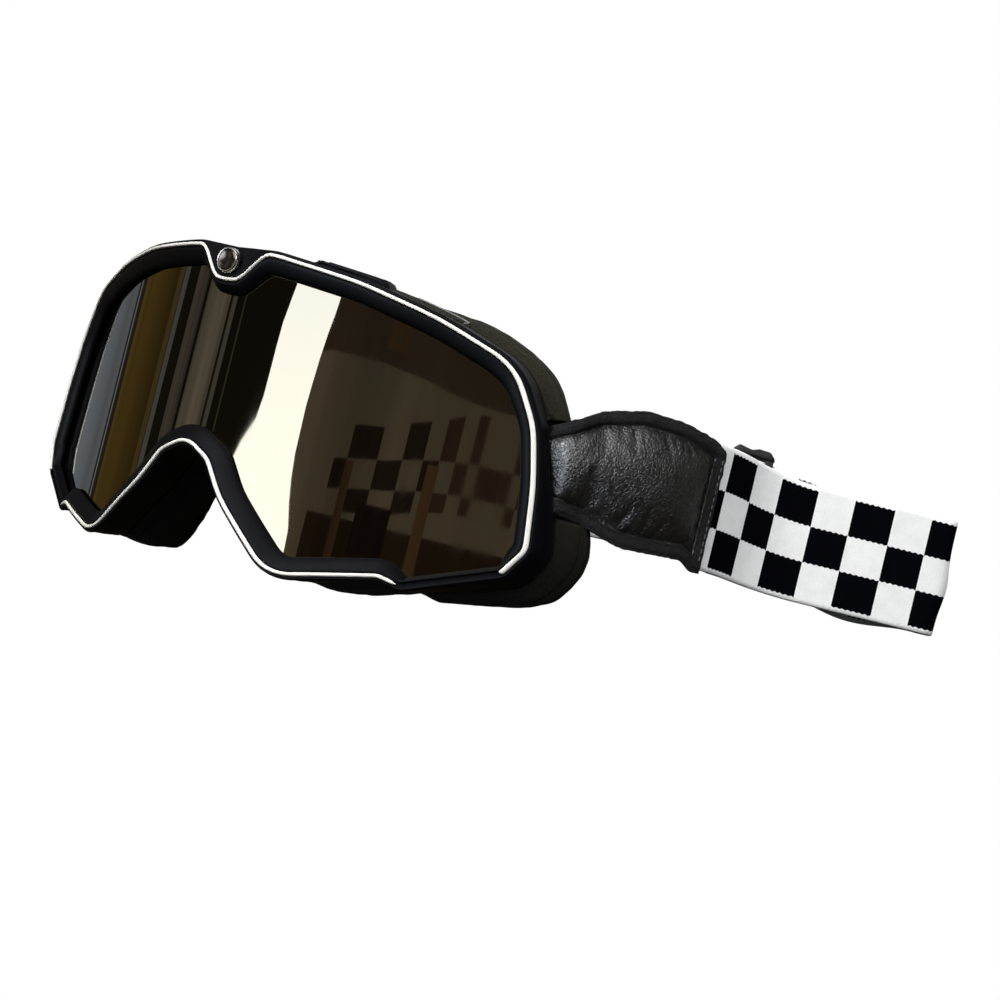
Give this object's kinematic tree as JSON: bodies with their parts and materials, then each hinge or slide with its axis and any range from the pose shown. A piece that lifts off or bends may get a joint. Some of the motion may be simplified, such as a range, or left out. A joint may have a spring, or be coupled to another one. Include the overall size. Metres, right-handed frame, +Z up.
{
  "type": "motorcycle goggles",
  "caption": "Retro motorcycle goggles: moulded frame with piping, curved mirror lens, foam face seal, leather outriggers and chequered elastic strap with slider.",
  "frame": {"origin": "bottom centre of the whole object's box, with the strap laid to the wearer's left", "axes": "the goggles face -Y, +Z is up, +X is the wearer's left"},
  "size_m": [0.2342, 0.157, 0.0843],
  "materials": {
    "frame_rubber": "matte moulded rubber",
    "lens_mirror": "bronze mirror coating",
    "piping": "satin off-white",
    "gunmetal": "polished gunmetal",
    "vent_foam": "open-cell foam",
    "face_foam": "soft flocked foam",
    "fleece": "fleece",
    "leather": "pebble grain",
    "padding": "wadding",
    "elastic": "woven black and white checks",
    "buckle_plastic": "moulded"
  },
  "bodies": {
    "goggle_frame": {"frame": "frame_rubber", "lens": "lens_mirror", "upper_piping": "piping", "lower_piping": "piping", "rivet_cap": "gunmetal", "rivet_collar": "gunmetal", "rivet_post": "gunmetal", "top_vent_foam_left": "vent_foam", "top_vent_foam_right": "vent_foam", "face_foam_base": "face_foam", "face_foam_soft": "face_foam", "face_fleece": "fleece", "left_hinge_wire": "gunmetal", "right_hinge_wire": "gunmetal"},
    "left_outrigger": {"left_leather_lining": "leather", "left_leather_pad": "padding", "left_leather_top": "leather"},
    "right_outrigger": {"right_leather_lining": "leather", "right_leather_pad": "padding", "right_leather_top": "leather"},
    "strap": {"elastic_strap": "elastic"},
    "slider": {"slider_buckle": "buckle_plastic", "strap_end_hem": "elastic"}
  },
  "joints": [
    {"name": "left_outrigger_hinge", "type": "hinge", "parent": "goggle_frame", "child": "left_outrigger", "pos_m": [0.05456, -0.02576, 0.04344], "axis": [0, 0, 1], "range_deg": [-3, 35]},
    {"name": "strap_seam_hinge", "type": "hinge", "parent": "left_outrigger", "child": "strap", "pos_m": [0.07606, 0.01754, 0.04344], "axis": [0, 0, 1], "range_deg": [-35, 3]},
    {"name": "right_outrigger_hinge", "type": "hinge", "parent": "goggle_frame", "child": "right_outrigger", "pos_m": [-0.10944, -0.02576, 0.04344], "axis": [0, 0, 1], "range_deg": [-3, 35]},
    {"name": "slider_slide", "type": "slide", "parent": "strap", "child": "slider", "axis": [-0.8174, -0.5723, 0.0659], "range_m": [-0.012, 0.01]}
  ],
  "couplings": [
    {"joint": "strap_seam_hinge", "follows": "left_outrigger_hinge", "ratio": -1},
    {"joint": "right_outrigger_hinge", "follows": "left_outrigger_hinge", "ratio": 1}
  ]
}
